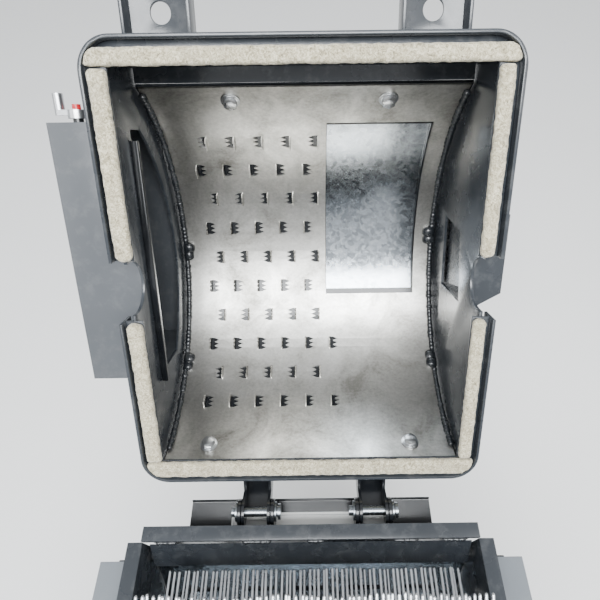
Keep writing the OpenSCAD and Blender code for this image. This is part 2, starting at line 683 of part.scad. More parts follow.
housing_sides();
back_rail();
front_rail();
back_deflector();
end_walls();
concave_screen();
husk_chute();
side_beams();
stand_legs();
stand_braces();
floor_plates();
rear_shelf();
label_plate();
hinge_ears();
hinge_pins();
hinge_washers();
lid_buffers();
bearings();
bearing_bolts();
shaft_shields();
catch_posts();
motor_plate();
motor_body();
motor_fan_cover();
terminal_box();
drive_belt();
belt_guard();
guard_bolts();
drum_shaft();
drum_tube();
brush_bars();
drum_pulley();
motor_shaft();
motor_pulley();
rim_band();
rim_flange();
felt_seal();
hood_side_left();
hood_side_right();
hood_front_wall();
hood_rear_wall();
hood_shell();
tooth_liner();
liner_bolts();
hood_welds();
hinge_arms();
catch_channels();
outlet_duct();
slot_bar();
air_box();
hopper();
gate_guides();
feed_gate();
gate_knob();
air_slide();
duct_flap();
flap_lever();
spindle_cap();
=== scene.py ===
# %% [markdown]
# A drum huller stands with its hood open. The steel frame comes from the design model and never moves here.
# This lesson adds what a drawing can't show: rolled sheet edges, lanced teeth, weld beads, felt and wire rods.

# %% Load the frame
import json
import math
import random

import bpy
import numpy as np
from mathutils import Matrix, Vector

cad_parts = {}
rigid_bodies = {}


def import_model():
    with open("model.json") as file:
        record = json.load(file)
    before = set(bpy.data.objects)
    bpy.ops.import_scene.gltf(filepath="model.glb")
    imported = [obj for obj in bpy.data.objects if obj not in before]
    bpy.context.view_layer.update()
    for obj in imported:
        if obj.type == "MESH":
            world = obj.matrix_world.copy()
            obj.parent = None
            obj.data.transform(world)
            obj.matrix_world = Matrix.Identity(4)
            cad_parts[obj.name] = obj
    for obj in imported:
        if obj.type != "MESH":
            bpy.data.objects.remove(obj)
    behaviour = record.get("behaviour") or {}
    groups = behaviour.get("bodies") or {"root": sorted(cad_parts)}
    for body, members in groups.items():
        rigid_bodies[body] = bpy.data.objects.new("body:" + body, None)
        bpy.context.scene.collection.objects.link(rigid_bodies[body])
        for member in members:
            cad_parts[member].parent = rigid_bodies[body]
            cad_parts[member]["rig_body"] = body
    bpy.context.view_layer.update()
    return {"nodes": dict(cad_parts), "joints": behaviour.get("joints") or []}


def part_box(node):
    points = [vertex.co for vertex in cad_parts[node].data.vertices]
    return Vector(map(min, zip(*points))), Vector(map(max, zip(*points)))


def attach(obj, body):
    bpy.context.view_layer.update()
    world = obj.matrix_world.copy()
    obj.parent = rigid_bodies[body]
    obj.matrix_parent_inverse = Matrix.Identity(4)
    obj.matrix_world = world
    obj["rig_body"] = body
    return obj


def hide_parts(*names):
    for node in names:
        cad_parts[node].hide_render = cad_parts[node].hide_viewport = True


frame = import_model()
MM = 0.001
joints = {joint["name"]: joint for joint in frame["joints"]}

# %% [markdown]
# The hood was designed shut and then swung open about its hinge. Pieces of the hood are easier to make shut,
# with the drum axis at the centre, so one matrix carries them to where the open hood stands.

# %% Places that come from the frame
AXIS = Vector(joints["drum_spin"]["pos_m"])
HINGE = Vector(joints["hood_hinge"]["pos_m"])
OPEN = math.radians(joints["hood_hinge"]["range_deg"][1])
SWING = Matrix.Translation(HINGE) @ Matrix.Rotation(-OPEN, 4, "X") @ Matrix.Translation(-HINGE)
ON_HOOD = SWING @ Matrix.Translation(AXIS)
ON_AXIS = Matrix.Translation(AXIS)


def node_points(name):
    mesh = frame["nodes"][name].data
    points = np.empty(len(mesh.vertices) * 3)
    mesh.vertices.foreach_get("co", points)
    return points.reshape(-1, 3)


def shut_box(name):
    """Lowest and highest corner of a hood node, shut and about the drum axis."""
    back = np.array(ON_HOOD.inverted())
    points = node_points(name) @ back[:3, :3].T + back[:3, 3]
    return Vector(points.min(0)), Vector(points.max(0))


RIM_LOW, RIM_HIGH = shut_box("rim_band")
LINER_HIGH = shut_box("tooth_liner")[1]
LINER_T = 2 * MM
LINER_R = LINER_HIGH.z - LINER_T
ARC_FRONT = math.radians(61.4)
ARC_REAR = math.radians(-80)
print("liner radius", round(LINER_R, 4), "rim", RIM_LOW, RIM_HIGH)

# %% [markdown]
# The camera stands where a person leans over the machine and looks down into the raised hood.
# It keeps a wide lens, and a very small shift for the framing.

# %% Camera
EYE = AXIS + Vector((6.1, 149.7, 527.3)) * MM
LOOK_DOWN = math.radians(55.04)
ROLL = math.radians(0.75)
camera_data = bpy.data.cameras.new("camera")
camera_data.lens = 27.37
camera_data.sensor_width = 36
camera_data.shift_x = -0.0225
camera_data.shift_y = -0.005
camera_data.clip_start = 0.02
camera = bpy.data.objects.new("camera", camera_data)
bpy.context.scene.collection.objects.link(camera)
camera.matrix_world = (
    Matrix.Translation(EYE)
    @ Matrix.Rotation(math.pi / 2 - LOOK_DOWN, 4, "X")
    @ Matrix.Rotation(-ROLL, 4, "Z")
)
bpy.context.scene.camera = camera

# %% [markdown]
# The stage is a pale floor, a soft sky and three large area lights, as in a plain studio. The strongest
# hangs above and in front of the raised hood, as the liner is a metal and shows little but what it mirrors.

# %% Stage and light
bpy.ops.object.select_all(action="DESELECT")
bpy.ops.mesh.primitive_plane_add(size=16, location=(0, 1.5, 0))
floor = bpy.context.object
floor.name = "floor"


world = bpy.data.worlds.new("studio_sky")
bpy.context.scene.world = world
world.use_nodes = True
world.node_tree.nodes["Background"].inputs["Color"].default_value = (0.94, 0.97, 1.0, 1.0)
world.node_tree.nodes["Background"].inputs["Strength"].default_value = 1.05


def area_light(name, place, target, size, watts, tint=(1, 1, 1)):
    data = bpy.data.lights.new(name, "AREA")
    data.shape = "RECTANGLE"
    data.size = size[0]
    data.size_y = size[1]
    data.energy = watts
    data.color = tint
    light = bpy.data.objects.new(name, data)
    bpy.context.scene.collection.objects.link(light)
    direction = Vector(target) - Vector(place)
    turn = direction.to_track_quat("-Z", "Y").to_matrix().to_4x4()
    light.matrix_world = Matrix.Translation(place) @ turn
    return light


HOOD_MIDDLE = ON_HOOD @ Vector((0, 0, 0.12))
COOL_WHITE = (0.95, 0.98, 1.0)
WARM_WHITE = (1.0, 0.98, 0.95)
area_light("sky_light", (0.0, -0.75, 2.5), HOOD_MIDDLE, (1.7, 1.0), 125, COOL_WHITE)
area_light("left_light", (-2.2, -0.6, 1.9), HOOD_MIDDLE, (1.4, 1.6), 16)
area_light("right_light", (2.2, -0.2, 2.1), HOOD_MIDDLE, (1.4, 1.6), 20, WARM_WHITE)

# %% [markdown]
# Every finish is built from a few shader nodes. One helper adds a node, sets its values and links its inputs.
# Colours are written as sRGB hex, the way a paint chart gives them, and turned to linear light.

# %% Helpers for materials
def srgb(code):
    channels = [int(code[i : i + 2], 16) / 255 for i in (1, 3, 5)]
    linear = [c / 12.92 if c <= 0.04045 else ((c + 0.055) / 1.055) ** 2.4 for c in channels]
    return (*linear, 1.0)


def add(tree, kind, links=None, **settings):
    """Adds one node. links maps an input to a socket or a value; settings are the node's own properties."""
    made = tree.nodes.new(kind)
    for key, value in settings.items():
        setattr(made, key, value)
    for key, value in (links or {}).items():
        if isinstance(value, bpy.types.NodeSocket):
            tree.links.new(value, made.inputs[key])
        else:
            made.inputs[key].default_value = value
    return made


def ramp(tree, factor, stops):
    made = add(tree, "ShaderNodeValToRGB", {"Fac": factor})
    elements = made.color_ramp.elements
    while len(elements) < len(stops):
        elements.new(0.5)
    for element, (place, colour) in zip(elements, stops):
        element.position = place
        element.color = srgb(colour) if isinstance(colour, str) else (colour, colour, colour, 1)
    return made.outputs["Color"]


def noise(tree, size_mm, detail=3.0, roughness=0.55, stretch=(1, 1, 1), distortion=0.0):
    """Noise whose blotches are about size_mm across, on the piece's own metres."""
    place = add(tree, "ShaderNodeTexCoord").outputs["Object"]
    scaled = add(tree, "ShaderNodeMapping", {"Vector": place, "Scale": stretch})
    made = add(
        tree,
        "ShaderNodeTexNoise",
        {
            "Vector": scaled.outputs["Vector"],
            "Scale": 1 / (size_mm * MM),
            "Detail": detail,
            "Roughness": roughness,
            "Distortion": distortion,
        },
    )
    return made.outputs["Fac"]


def new_material(name, metallic=0.0, ior=None, coat=0.0, coat_roughness=0.1, sheen=0.0):
    made = bpy.data.materials.new(name)
    made.use_nodes = True
    shader = made.node_tree.nodes["Principled BSDF"]
    shader.inputs["Metallic"].default_value = metallic
    shader.inputs["Coat Weight"].default_value = coat
    shader.inputs["Coat Roughness"].default_value = coat_roughness
    shader.inputs["Sheen Weight"].default_value = sheen
    if ior:
        shader.inputs["IOR"].default_value = ior
    return made, made.node_tree, shader


def bump(tree, shader, height, distance_mm, strength=0.5):
    made = add(tree, "ShaderNodeBump", {"Height": height, "Distance": distance_mm * MM, "Strength": strength})
    tree.links.new(made.outputs["Normal"], shader.inputs["Normal"])


def mix(tree, factor, first, second):
    made = add(tree, "ShaderNodeMix", data_type="RGBA")
    colour_inputs = [socket for socket in made.inputs if socket.type == "RGBA"]
    for socket, value in zip(colour_inputs, (first, second)):
        if isinstance(value, bpy.types.NodeSocket):
            tree.links.new(value, socket)
        else:
            socket.default_value = srgb(value)
    factor_input = made.inputs["Factor"]
    if isinstance(factor, bpy.types.NodeSocket):
        tree.links.new(factor, factor_input)
    else:
        factor_input.default_value = factor
    return [socket for socket in made.outputs if socket.type == "RGBA"][0]


# %% [markdown]
# The sheet steel is sprayed with a slate-grey semi-gloss machine enamel. Sprayed enamel has a faint orange
# peel, about 2 mm from crest to crest, dust that settles in patches, and a soft, broad reflection.

# %% Slate enamel
def enamel(name, shade, dusty, roughness, peel_mm=2.0, dust_amount=0.12, coat=0.2):
    made, tree, shader = new_material(name, ior=1.5, coat=coat, coat_roughness=0.16)
    cloud = noise(tree, 90, 4)
    dust = ramp(tree, noise(tree, 14, 5, 0.65), [(0.5, 0.0), (0.72, 1.0)])
    tone = mix(tree, cloud, shade, dusty)
    dust_share = add(tree, "ShaderNodeMath", {0: dust, 1: dust_amount}, operation="MULTIPLY").outputs[0]
    tree.links.new(mix(tree, dust_share, tone, "#8B8C8B"), shader.inputs["Base Color"])
    gloss = add(
        tree,
        "ShaderNodeMapRange",
        {"Value": noise(tree, 35, 4), "To Min": roughness - 0.07, "To Max": roughness + 0.1},
    )
    tree.links.new(gloss.outputs["Result"], shader.inputs["Roughness"])
    bump(tree, shader, noise(tree, peel_mm, 2), 0.05, 0.35)
    return made


SLATE = enamel("slate_semi_gloss_enamel", "#24272B", "#31353A", 0.25)
# The darker copy is the same slate enamel darkened as painted shade, for parts that stand in shadow.
SLATE_DARK = enamel("near_black_semi_gloss_enamel", "#0D0F12", "#15171A", 0.2, dust_amount=0.03, coat=0.05)
# The paler copy is the slate enamel lightened as painted reflection, for sheet that mirrors the bright surroundings.
SLATE_PALE = enamel("worn_grey_enamel", "#3C3F43", "#505357", 0.38)
# The lightest copy is the slate enamel lightened as painted light, for the side beams that catch the light.
SLATE_LIGHT = enamel("sun_bleached_grey_enamel", "#63686D", "#7B8085", 0.32)

# %% [markdown]
# The liner is cold-rolled sheet with a thin zinc coat. It is a true metal, so its colour is its reflection.
# Pickling leaves cloudy patches 20 to 60 mm across, handling leaves smears, and both change the gloss most.

# %% Satin zinc sheet
def zinc_sheet(name, dark, light, roughness, line_direction):
    made, tree, shader = new_material(name, metallic=1.0)
    smear = noise(tree, 60, 6, 0.62, distortion=0.6)
    fine = noise(tree, 3.2, 3, 0.7, stretch=line_direction)
    soft = add(tree, "ShaderNodeMath", {0: fine, 1: 0.25}, operation="MULTIPLY").outputs[0]
    half = add(tree, "ShaderNodeMath", {0: smear, 1: 0.75, 2: soft}, operation="MULTIPLY_ADD").outputs[0]
    tree.links.new(ramp(tree, half, [(0.33, dark), (0.65, light)]), shader.inputs["Base Color"])
    gloss = add(
        tree,
        "ShaderNodeMapRange",
        {"Value": half, "From Min": 0.3, "From Max": 0.7, "To Min": roughness + 0.1, "To Max": roughness - 0.06},
    )
    tree.links.new(gloss.outputs["Result"], shader.inputs["Roughness"])
    bump(tree, shader, fine, 0.03, 0.3)
    return made


LINER_ZINC = zinc_sheet("satin_zinc_coated_sheet", "#7F7D77", "#D8D6D1", 0.34, (0.8, 1, 1))
PLATED = zinc_sheet("bright_zinc_plating", "#B4B6B8", "#D9DADB", 0.28, (1, 1, 1))
PICKLED = zinc_sheet("grey_pickled_steel", "#6E7378", "#92979B", 0.26, (1, 1, 1))
ROD_STEEL = zinc_sheet("drawn_spring_steel", "#A9ABAE", "#D0D2D4", 0.24, (1, 1, 1))

# %% [markdown]
# Hot-dip galvanised sheet shows spangle: flat zinc crystals 3 to 6 mm across that each reflect a little
# differently. Voronoi cells give each crystal its own tone and its own gloss.

# %% Galvanised spangle
def galvanised(name, dark, light, roughness):
    made, tree, shader = new_material(name, metallic=1.0)
    place = add(tree, "ShaderNodeTexCoord").outputs["Object"]
    wander = add(tree, "ShaderNodeTexNoise", {"Vector": place, "Scale": 90.0, "Detail": 2.0}).outputs["Color"]
    moved = mix(tree, 0.012, place, wander)
    cells = add(tree, "ShaderNodeTexVoronoi", {"Vector": moved, "Scale": 1 / (4.5 * MM)}, feature="F1")
    tone = add(tree, "ShaderNodeSeparateColor", {"Color": cells.outputs["Color"]}).outputs["Red"]
    tree.links.new(ramp(tree, tone, [(0.0, dark), (1.0, light)]), shader.inputs["Base Color"])
    gloss = add(
        tree,
        "ShaderNodeMapRange",
        {"Value": tone, "To Min": roughness - 0.03, "To Max": roughness + 0.04},
    )
    tree.links.new(gloss.outputs["Result"], shader.inputs["Roughness"])
    bump(tree, shader, noise(tree, 40, 3), 0.6, 0.25)
    return made


GALVANISED = galvanised("hot_dip_galvanised_sheet", "#9DA3A9", "#C4CACF", 0.2)
# A darker copy of the galvanised sheet, for the air slide behind the side wall's window.
WEATHERED = galvanised("weathered_dark_galvanised_sheet", "#23272C", "#363B41", 0.26)

# %% [markdown]
# Wool felt is matt and soft-edged. Short fibres lie every way, so the colour is mottled at about 1 mm, and
# handling has darkened it in broader patches.

# %% Wool felt
FELT, tree, shader = new_material("grey_wool_felt", sheen=0.35)
fibre = noise(tree, 3.4, 9, 0.84, distortion=1.6)
soil = ramp(tree, noise(tree, 26, 4, 0.6), [(0.42, 0.0), (0.75, 1.0)])
wool = ramp(tree, fibre, [(0.37, "#4A4434"), (0.48, "#9F967C"), (0.6, "#DBD3BA")])
soiled = add(tree, "ShaderNodeMath", {0: soil, 1: 0.35}, operation="MULTIPLY").outputs[0]
tree.links.new(mix(tree, soiled, wool, "#857F70"), shader.inputs["Base Color"])
shader.inputs["Roughness"].default_value = 0.95
bump(tree, shader, fibre, 0.9, 0.8)

# %% [markdown]
# The weld beads are enamelled over, but slag and spatter leave them darker and glossier than the sheet.

# %% Other finishes
WELD = enamel("enamelled_weld_bead", "#0F1113", "#26292D", 0.2, 1.2)


def plain_finish(name, shade, other, roughness, size_mm=18, metallic=0.0, grain_mm=0.8, depth_mm=0.03):
    made, tree, shader = new_material(name, metallic=metallic)
    blotch = noise(tree, size_mm, 4)
    tree.links.new(mix(tree, blotch, shade, other), shader.inputs["Base Color"])
    gloss = add(
        tree,
        "ShaderNodeMapRange",
        {"Value": blotch, "To Min": roughness - 0.06, "To Max": roughness + 0.08},
    )
    tree.links.new(gloss.outputs["Result"], shader.inputs["Roughness"])
    bump(tree, shader, noise(tree, grain_mm, 2), depth_mm, 0.4)
    return made


RUBBER = plain_finish("black_nitrile_rubber", "#131314", "#1E1E1F", 0.62)
BLACK_ABS = plain_finish("black_moulded_abs", "#17181A", "#202124", 0.45)
RED_ABS = plain_finish("red_moulded_abs", "#A3151D", "#BE2A30", 0.32)
CAST_IRON = plain_finish("painted_cast_iron", "#2E3338", "#3A4046", 0.5, grain_mm=1.6, depth_mm=0.12)
MOTOR_ALU = plain_finish("painted_die_cast_aluminium", "#3F4A57", "#4B5765", 0.42, grain_mm=1.2, depth_mm=0.06)
LABEL_WHITE = plain_finish("laminated_label_stock", "#E9E9E6", "#F4F4F1", 0.3, grain_mm=0.4, depth_mm=0.005)
LABEL_INK = plain_finish("grey_label_ink", "#8C8F92", "#9A9DA0", 0.35)
FLOOR_PAINT = plain_finish("pale_matt_floor", "#F1F1F0", "#F7F7F6", 0.7, size_mm=600, grain_mm=4, depth_mm=0.02)
floor.data.materials.append(FLOOR_PAINT)

# %% [markdown]
# Sheet that has been sheared, folded and painted has no knife edges. Each visible sheet part is copied from
# the frame, its loose triangles are merged, and a Bevel modifier rolls every sharp edge by well under 1 mm.

# %% Rolled edges for the sheet parts
MERGE_WITHIN = 0.02 * MM
FLAT_WITHIN_DEG = 0.8
EDGE_MM = 0.6


def deselect():
    if bpy.context.object and bpy.context.object.mode != "OBJECT":
        bpy.ops.object.mode_set(mode="OBJECT")
    bpy.ops.object.select_all(action="DESELECT")


def make_active(piece):
    deselect()
    piece.select_set(True)
    bpy.context.view_layer.objects.active = piece


def edit(piece):
    make_active(piece)
    bpy.ops.object.mode_set(mode="EDIT")
    bpy.ops.mesh.select_mode(type="VERT")


def leave_edit():
    bpy.ops.object.mode_set(mode="OBJECT")


def apply_modifiers(piece):
    make_active(piece)
    for modifier in list(piece.modifiers):
        bpy.ops.object.modifier_apply(modifier=modifier.name)


def bevel(piece, width_mm, segments, from_degrees=None):
    """Rounds the sharp edges of a piece for good. from_degrees is the smallest fold that counts as sharp."""
    modifier = piece.modifiers.new("edge", "BEVEL")
    modifier.width = width_mm * MM
    modifier.segments = segments
    if from_degrees:
        modifier.angle_limit = math.radians(from_degrees)
    apply_modifiers(piece)


def smooth(piece, degrees):
    """Smooth shading, with a hard line at folds sharper than this."""
    make_active(piece)
    bpy.ops.object.shade_smooth_by_angle(angle=math.radians(degrees))


def merged_copy(name):
    """A copy of a frame part as its own piece, with its loose triangles merged."""
    piece = bpy.data.objects.new(name + "_sheet", frame["nodes"][name].data.copy())
    bpy.context.scene.collection.objects.link(piece)
    edit(piece)
    bpy.ops.mesh.select_all(action="SELECT")
    bpy.ops.mesh.remove_doubles(threshold=MERGE_WITHIN)
    return piece


def node_body(name):
    return frame["nodes"][name]["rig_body"]


def finish_piece(piece, material, body, replaced=()):
    """Gives a finished piece its material and its body, and hides the frame nodes that it stands for."""
    piece.data.materials.clear()
    piece.data.materials.append(material)
    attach(piece, body)
    if replaced:
        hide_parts(*replaced)


def rolled(name, material):
    piece = merged_copy(name)
    bpy.ops.mesh.dissolve_limited(angle_limit=math.radians(FLAT_WITHIN_DEG))
    leave_edit()
    bevel(piece, EDGE_MM, 2, 35)
    smooth(piece, 32)
    finish_piece(piece, material, node_body(name), [name])


# In this table the darker slate paints shade on parts in shadow, and the paler and lightest slates paint reflection
# and light on the duct, hopper, belt guard and side beams.
SHEET_PARTS = {
    SLATE: [
        "housing_sides", "back_rail", "front_rail", "back_deflector", "end_walls", "shaft_shields",
        "rim_band", "rim_flange", "hood_side_left", "hood_side_right", "hood_front_wall", "hood_rear_wall",
        "catch_channels", "air_box", "husk_chute",
    ],
    SLATE_DARK: [
        "stand_legs", "stand_braces", "rear_shelf", "hinge_ears", "hinge_arms", "slot_bar", "motor_plate",
    ],
    SLATE_PALE: ["outlet_duct", "hopper", "belt_guard"],
    SLATE_LIGHT: ["side_beams"],
}
for material, names in SHEET_PARTS.items():
    for name in names:
        rolled(name, material)
print("rolled sheet parts:", sum(len(names) for names in SHEET_PARTS.values()))

# %% [markdown]
# Parts whose turned or sawn shape is already right keep the frame's mesh and only get a finish. Each material
# is written once, so its list holds every part that wears it.

# %% Finishes on the frame's own parts
# The darker slate in this table is painted shade on the floor plates, the drum tube and the duct flap.
NODE_FINISH = {
    SLATE: ["gate_guides"],
    PLATED: ["bearing_bolts", "catch_posts", "guard_bolts", "drum_shaft", "motor_shaft", "flap_lever"],
    SLATE_DARK: ["floor_plates", "drum_tube", "duct_flap"],
    GALVANISED: ["concave_screen", "feed_gate"],
    WEATHERED: ["air_slide"],
    PICKLED: ["hinge_pins", "hinge_washers"],
    RUBBER: ["lid_buffers", "drive_belt"],
    BLACK_ABS: ["motor_fan_cover", "terminal_box", "gate_knob"],
    CAST_IRON: ["bearings", "drum_pulley", "motor_pulley"],
    MOTOR_ALU: ["motor_body"],
    RED_ABS: ["spindle_cap"],
}
for material, names in NODE_FINISH.items():
    for name in names:
        mesh = frame["nodes"][name].data
        mesh.materials.clear()
        mesh.materials.append(material)
finished = {name for names in (*SHEET_PARTS.values(), *NODE_FINISH.values()) for name in names}
print("still to model:", sorted(set(frame["nodes"]) - finished))

# %% [markdown]
# The hood's shell is enamelled slate outside. Its inside only shows through the lanced holes, where little light
# falls, so the faces that look at the drum get the darkened slate as painted shade.

# %% Shell, with painted shade on its inside
shell = merged_copy("hood_shell")
leave_edit()
finish_piece(shell, SLATE, "hood", ["hood_shell"])
shell.data.materials.append(SLATE_DARK)
SHELL_MIDDLE = LINER_R + 3.7 * MM
back = ON_HOOD.inverted()
# Faces nearer the drum than the shell's middle get the darkened slate, painted shade.
for face in shell.data.polygons:
    middle = back @ face.center
    face.material_index = int(math.hypot(middle.y, middle.z) < SHELL_MIDDLE)
smooth(shell, 25)

# %% [markdown]
# The liner is the heart of the machine. A press lances three-pointed combs in the flat sheet and bends them
# up, and the sheet is then rolled. It is made here in the same order: a flat sheet, a Boolean that punches the
# comb-shaped holes, the bent flaps, and last the roll to the drum's radius.

# %% Flat liner sheet
TOOTH_ROWS = 10
TOOTH_STEP = math.radians(10.8)
TOOTH_START = math.radians(39.3)
TOOTH_X = -119.7 * MM
TOOTH_PITCH = 32 * MM
ROW_SHIFT = 8.5 * MM
LONG_ROWS = (7, 9)
COMB_LONG = 16.5 * MM
COMB_WIDE = 12 * MM
WINDOW = (23 * MM, 142 * MM, math.radians(-18.1), math.radians(46.3))
BOLTS = [(-77, 56), (86, 56), (-119, -74.3), (117, -74.3)]


def flat_box(name, low, high):
    """A box in flat-sheet space: x across the drum, y along the arc, z towards the drum axis."""
    deselect()
    middle = (Vector(low) + Vector(high)) / 2
    bpy.ops.mesh.primitive_cube_add(size=1, location=middle)
    piece = bpy.context.object
    piece.name = name
    piece.scale = Vector(high) - Vector(low)
    bpy.ops.object.transform_apply(location=True, rotation=True, scale=True)
    return piece


def comb_outline():
    """Outline of one lanced comb: a root on the right and three points on the left."""
    half = COMB_LONG / 2
    third = COMB_LONG / 3
    root = COMB_WIDE / 2
    points = [(root, -half), (root, half)]
    for k in range(3):
        top = half - k * third
        points += [(0, top - third * 0.04), (-root, top - third * 0.5), (0, top - third * 0.96)]
    return points


def comb_prism(name, low, high):
    """The comb outline as a prism between two heights: one flat face, extruded."""
    mesh = bpy.data.meshes.new(name)
    outline = comb_outline()
    clean = [p for i, p in enumerate(outline) if p != outline[i - 1]]
    mesh.from_pydata([(x, y, low) for x, y in clean], [], [list(range(len(clean)))])
    piece = bpy.data.objects.new(name, mesh)
    bpy.context.scene.collection.objects.link(piece)
    edit(piece)
    bpy.ops.mesh.select_all(action="SELECT")
    bpy.ops.mesh.extrude_region_move(TRANSFORM_OT_translate={"value": (0, 0, high - low)})
    bpy.ops.mesh.select_all(action="SELECT")
    bpy.ops.mesh.normals_make_consistent(inside=False)
    leave_edit()
    return piece


def copies(source, matrices, name):
    """One object that holds a copy of the source's mesh at each matrix."""
    vertices = np.empty(len(source.data.vertices) * 3)
    source.data.vertices.foreach_get("co", vertices)
    vertices = vertices.reshape(-1, 3)
    faces = [list(face.vertices) for face in source.data.polygons]
    all_vertices, all_faces = [], []
    for index, matrix in enumerate(matrices):
        spot = np.array(matrix)
        all_vertices.append(vertices @ spot[:3, :3].T + spot[:3, 3])
        turned = matrix.determinant() < 0
        offset = index * len(vertices)
        all_faces += [[v + offset for v in (reversed(f) if turned else f)] for f in faces]
    mesh = bpy.data.meshes.new(name)
    mesh.from_pydata(np.concatenate(all_vertices).tolist(), [], all_faces)
    piece = bpy.data.objects.new(name, mesh)
    bpy.context.scene.collection.objects.link(piece)
    bpy.data.objects.remove(source)
    return piece


def tooth_places():
    places = []
    for row in range(TOOTH_ROWS):
        flip = row % 2
        for column in range(6 if row in LONG_ROWS else 5):
            x = TOOTH_X - flip * ROW_SHIFT + column * TOOTH_PITCH
            y = (TOOTH_START - row * TOOTH_STEP) * LINER_R
            mirror = Matrix.Diagonal((-1 if flip else 1, 1, 1, 1))
            places.append(Matrix.Translation((x, y, 0)) @ mirror)
    return places


def slice_across(piece, step):
    """Cuts a flat piece across its length every step metres, so that it can be rolled smoothly."""
    lengths = [vertex.co.y for vertex in piece.data.vertices]
    low, high = min(lengths), max(lengths)
    count = int((high - low) / step)
    edit(piece)
    for k in range(1, count):
        bpy.ops.mesh.select_all(action="SELECT")
        bpy.ops.mesh.bisect(plane_co=(0, low + (high - low) * k / count, 0), plane_no=(0, 1, 0))
    leave_edit()


places = tooth_places()
sheet = flat_box(
    "tooth_liner_sheet",
    (-LINER_HIGH.x, ARC_REAR * LINER_R, -LINER_T),
    (LINER_HIGH.x, ARC_FRONT * LINER_R, 0),
)
slice_across(sheet, math.radians(3) * LINER_R)
punches = copies(comb_prism("punch", -0.01, 0.01), places, "punches")
window_low = (WINDOW[0], WINDOW[2] * LINER_R, -0.01)
window = flat_box("window_punch", window_low, (WINDOW[1], WINDOW[3] * LINER_R, 0.01))
for cutter in (punches, window):
    modifier = sheet.modifiers.new("punch", "BOOLEAN")
    modifier.operation = "DIFFERENCE"
    modifier.solver = "EXACT"
    modifier.object = cutter
    apply_modifiers(sheet)
    bpy.data.objects.remove(cutter)
print("punched sheet faces:", len(sheet.data.polygons), "marks:", len(places))

# %% [markdown]
# Each flap is the metal that left the hole, bent up about its root until its points reach for the drum.

# %% Bent flaps
FLAP_TILT = math.radians(88)
flap = comb_prism("flap", -LINER_T * 0.6, 0)
root_edge = COMB_WIDE / 2
for vertex in flap.data.vertices:
    reach = root_edge - vertex.co.x
    lean = FLAP_TILT * (0.9 + 0.1 * reach / COMB_WIDE)
    depth = vertex.co.z
    vertex.co.x = root_edge - reach * math.cos(lean) * 0.7 + depth * math.sin(lean)
    vertex.co.z = reach * math.sin(lean) * 0.72 + depth * math.cos(lean)
    vertex.co.y *= 1 - 0.06 * reach / COMB_WIDE
flaps = copies(flap, places, "flaps")


def join(first, *others):
    deselect()
    for piece in (first, *others):
        piece.select_set(True)
    bpy.context.view_layer.objects.active = first
    bpy.ops.object.join()
    return first


sheet = join(sheet, flaps)

# %% [markdown]
# The flat sheet was sliced every 3 degrees before it was punched. The roll moves each point from flat space to
# its angle and radius.

# %% Roll the liner
def roll_to_arc(piece, radius):
    for vertex in piece.data.vertices:
        x, y, z = vertex.co
        angle = y / radius
        vertex.co = (x, -(radius - z) * math.sin(angle), (radius - z) * math.cos(angle))


def settle(piece, matrix):
    """Applies the place of a finished piece to its mesh, so that its object sits at the origin."""
    piece.data.transform(matrix)
    piece.matrix_world = Matrix.Identity(4)
    piece.data.update()


roll_to_arc(sheet, LINER_R)
settle(sheet, ON_HOOD)
edit(sheet)
bpy.ops.mesh.select_all(action="SELECT")
bpy.ops.mesh.normals_make_consistent(inside=False)
leave_edit()
smooth(sheet, 25)
finish_piece(sheet, LINER_ZINC, "hood", ["tooth_liner"])

# %% [markdown]
# The shell's own opening is a little smaller than the window in the liner. Its lip frames the gate, widest along the
# rear edge, and wears the darkened slate as a painted shadow line round the window, where a laminated wall has a
# shadow gap.

# %% Painted shadow lip round the window
LIP_OUT = 3 * MM
LIP_WIDE = 7 * MM
LIP_TOP = 4.5 * MM
lip_parts = []
x_low, x_high, arc_low, arc_high = WINDOW[0], WINDOW[1], WINDOW[2] * LINER_R, WINDOW[3] * LINER_R
for low, high in (
    ((x_low - LIP_OUT, arc_high - LIP_TOP), (x_high + LIP_OUT, arc_high + LIP_OUT)),
    ((x_low - LIP_OUT, arc_low - LIP_OUT), (x_high + LIP_OUT, arc_low + LIP_WIDE)),
    ((x_low - LIP_OUT, arc_low + LIP_WIDE), (x_low + 0.7 * MM, arc_high - LIP_TOP)),
    ((x_high - 2 * MM, arc_low + LIP_WIDE), (x_high + LIP_OUT, arc_high - LIP_TOP)),
):
    part = flat_box("lip", (*low, -5.1 * MM), (*high, -2.3 * MM))
    slice_across(part, 8 * MM)
    lip_parts.append(part)
lip = join(*lip_parts)
lip.name = "window_lip"
roll_to_arc(lip, LINER_R)
settle(lip, ON_HOOD)
smooth(lip, 25)
# The lip wears the darkened slate as painted shadow.
finish_piece(lip, SLATE_DARK, "hood")

# %% [markdown]
# The felt seal is butt-jointed tape. Each strip is a box with soft edges, rounded where it ends at a notch for
# the shaft. It is sliced finely, and a cloud texture pushes it about so that its face is never flat.

# %% Felt strips
FELT_W = 20 * MM
FELT_LOW = RIM_LOW.z + 0.5 * MM
FELT_HIGH = RIM_LOW.z + 8.6 * MM
FELT_OUT_X = RIM_HIGH.x - 3.6 * MM
FELT_OUT_Y = RIM_HIGH.y - 3.6 * MM
NOTCH_END = 30 * MM
CORNER_R = 24 * MM

cloud = bpy.data.textures.new("felt_cloud", "CLOUDS")
cloud.noise_scale = 0.006
cloud.noise_depth = 3


def corner_cut(piece, radius, half_x, half_y):
    """Pulls points that stick out of a rounded corner back to its arc."""
    for vertex in piece.data.vertices:
        dx = abs(vertex.co.x) - (half_x - radius)
        dy = abs(vertex.co.y) - (half_y - radius)
        if dx > 0 and dy > 0 and math.hypot(dx, dy) > radius:
            shrink = radius / math.hypot(dx, dy)
            vertex.co.x = math.copysign(half_x - radius + dx * shrink, vertex.co.x)
            vertex.co.y = math.copysign(half_y - radius + dy * shrink, vertex.co.y)


